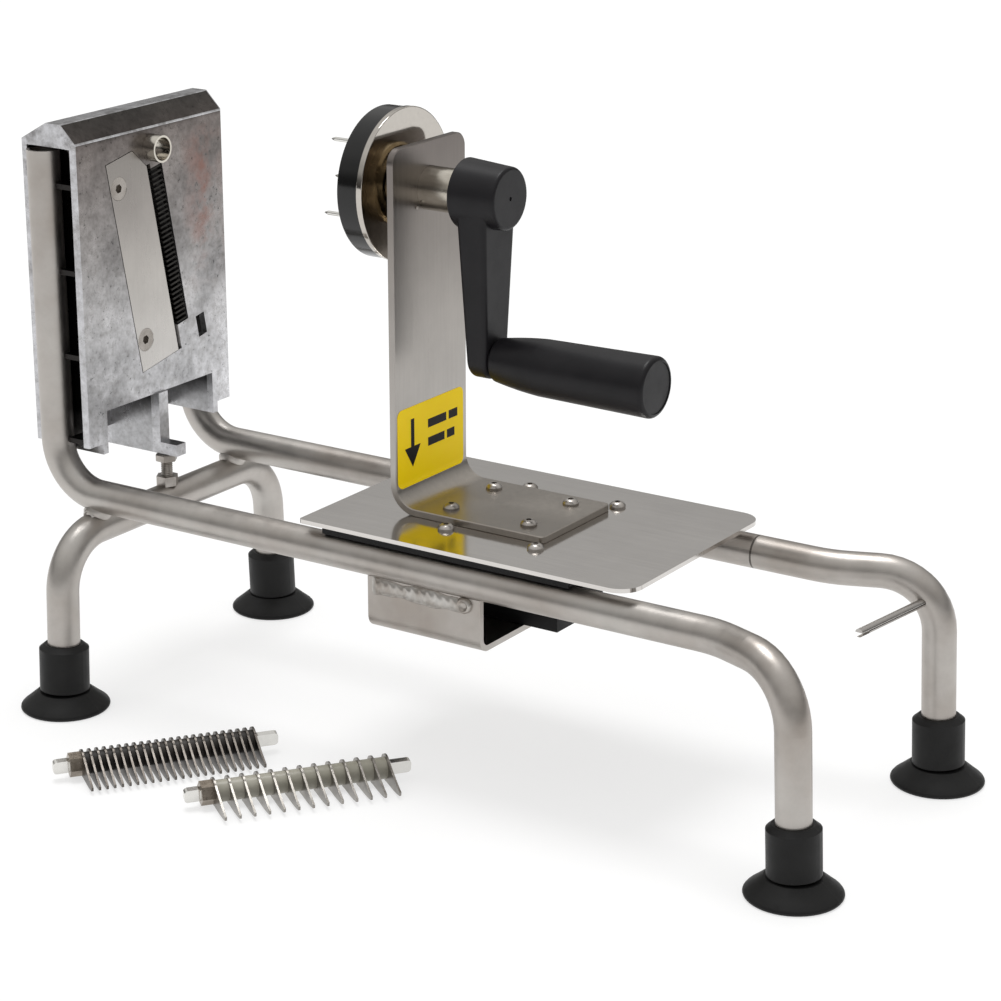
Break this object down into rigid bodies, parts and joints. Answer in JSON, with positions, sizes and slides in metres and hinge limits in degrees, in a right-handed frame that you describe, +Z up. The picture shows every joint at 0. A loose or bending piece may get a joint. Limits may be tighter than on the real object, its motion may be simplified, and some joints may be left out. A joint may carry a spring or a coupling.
{
  "type": "turning vegetable slicer",
  "caption": "Crank-turned vegetable slicer: bent tube frame on suction feet, upright cast blade head, sliding carriage with a spiked disc and hand crank, and spare comb blades.",
  "frame": {"origin": "middle of the whole set's footprint, at the height of the table the feet stand on", "axes": "+X from the blade head towards the crank, +Y from the near rail to the far rail, +Z up"},
  "size_m": [0.457, 0.2638, 0.3008],
  "materials": {
    "steel_tube": "satin",
    "steel_plate": "polished",
    "steel_bracket": "brushed",
    "bright_steel": "polished",
    "cast_aluminium": "tumbled",
    "blade_steel": "ground",
    "screw_steel": "satin",
    "bronze": "turned",
    "black_plastic": "satin",
    "block_plastic": "matte",
    "black_rubber": "matte",
    "dark_spacer": "matte",
    "milky_spacer": "matte",
    "label": "gloss"
  },
  "bodies": {
    "frame": {"side_tube_near": "steel_tube", "side_tube_far": "steel_tube", "rear_hoop": "steel_tube", "hoop_welds": "steel_tube", "adjuster_nut": "screw_steel", "keeper": "steel_tube", "keeper_welds": "steel_tube", "foot_sleeves": "black_rubber", "suction_cups": "black_rubber"},
    "adjuster": {"adjuster_screw": "screw_steel"},
    "stop_pin": {"split_pin": "bright_steel"},
    "head": {"head_cap": "cast_aluminium", "head_back_wall": "cast_aluminium", "head_rib": "cast_aluminium", "head_lug": "cast_aluminium", "head_front_wall": "cast_aluminium", "head_pads": "cast_aluminium", "head_webs": "cast_aluminium", "slicing_blade": "blade_steel", "blade_screws": "screw_steel", "coring_tube": "bronze"},
    "carriage": {"slide_block": "block_plastic", "carriage_plate": "steel_plate", "crank_bracket": "steel_bracket", "foot_screws": "screw_steel", "plate_screws": "screw_steel", "bracket_label": "label", "bearing_sleeve": "steel_plate", "bearing_collar": "bronze", "locking_pin": "screw_steel"},
    "crank": {"spindle": "bright_steel", "backing_disc": "steel_plate", "prong_disc": "black_plastic", "prongs": "bright_steel", "crank_arm": "black_plastic", "grip_axle": "bright_steel"},
    "grip": {"grip_sleeve": "black_plastic", "grip_cap": "black_plastic"},
    "fitted_comb": {"fitted_comb_shaft": "bright_steel", "fitted_comb_teeth": "blade_steel", "fitted_comb_spacers": "dark_spacer", "fitted_comb_nut": "screw_steel"},
    "fine_comb": {"fine_comb_shaft": "bright_steel", "fine_comb_teeth": "blade_steel", "fine_comb_spacers": "dark_spacer", "fine_comb_nut": "screw_steel"},
    "coarse_comb": {"coarse_comb_shaft": "bright_steel", "coarse_comb_teeth": "blade_steel", "coarse_comb_spacers": "milky_spacer", "coarse_comb_nut": "screw_steel"}
  },
  "joints": [
    {"name": "carriage_slide", "type": "slide", "parent": "frame", "child": "carriage", "axis": [1, 0, 0], "range_m": [-0.108, 0.075]},
    {"name": "crank_turn", "type": "hinge", "parent": "carriage", "child": "crank", "pos_m": [-0.01653, 0.02633, 0.265], "axis": [1, 0, 0], "continuous": true},
    {"name": "grip_spin", "type": "hinge", "parent": "crank", "child": "grip", "pos_m": [0.05147, 0.02633, 0.189], "axis": [1, 0, 0], "continuous": true},
    {"name": "head_lift", "type": "slide", "parent": "frame", "child": "head", "axis": [0, 0, 1], "range_m": [0, 0.18]},
    {"name": "comb_pull", "type": "slide", "parent": "head", "child": "fitted_comb", "axis": [-1, 0, 0], "range_m": [0, 0.06]},
    {"name": "adjuster_turn", "type": "hinge", "parent": "frame", "child": "adjuster", "pos_m": [-0.19253, 0.02633, 0.1], "axis": [0, 0, 1], "continuous": true},
    {"name": "pin_pull", "type": "slide", "parent": "frame", "child": "stop_pin", "axis": [-0.1305, -0.9914, 0], "range_m": [0, 0.03]},
    {"name": "fine_comb_lift", "type": "slide", "parent": "frame", "child": "fine_comb", "axis": [0, 0, 1], "range_m": [0, 0.1]},
    {"name": "coarse_comb_lift", "type": "slide", "parent": "frame", "child": "coarse_comb", "axis": [0, -0.5, 0.866], "range_m": [0, 0.1]}
  ]
}
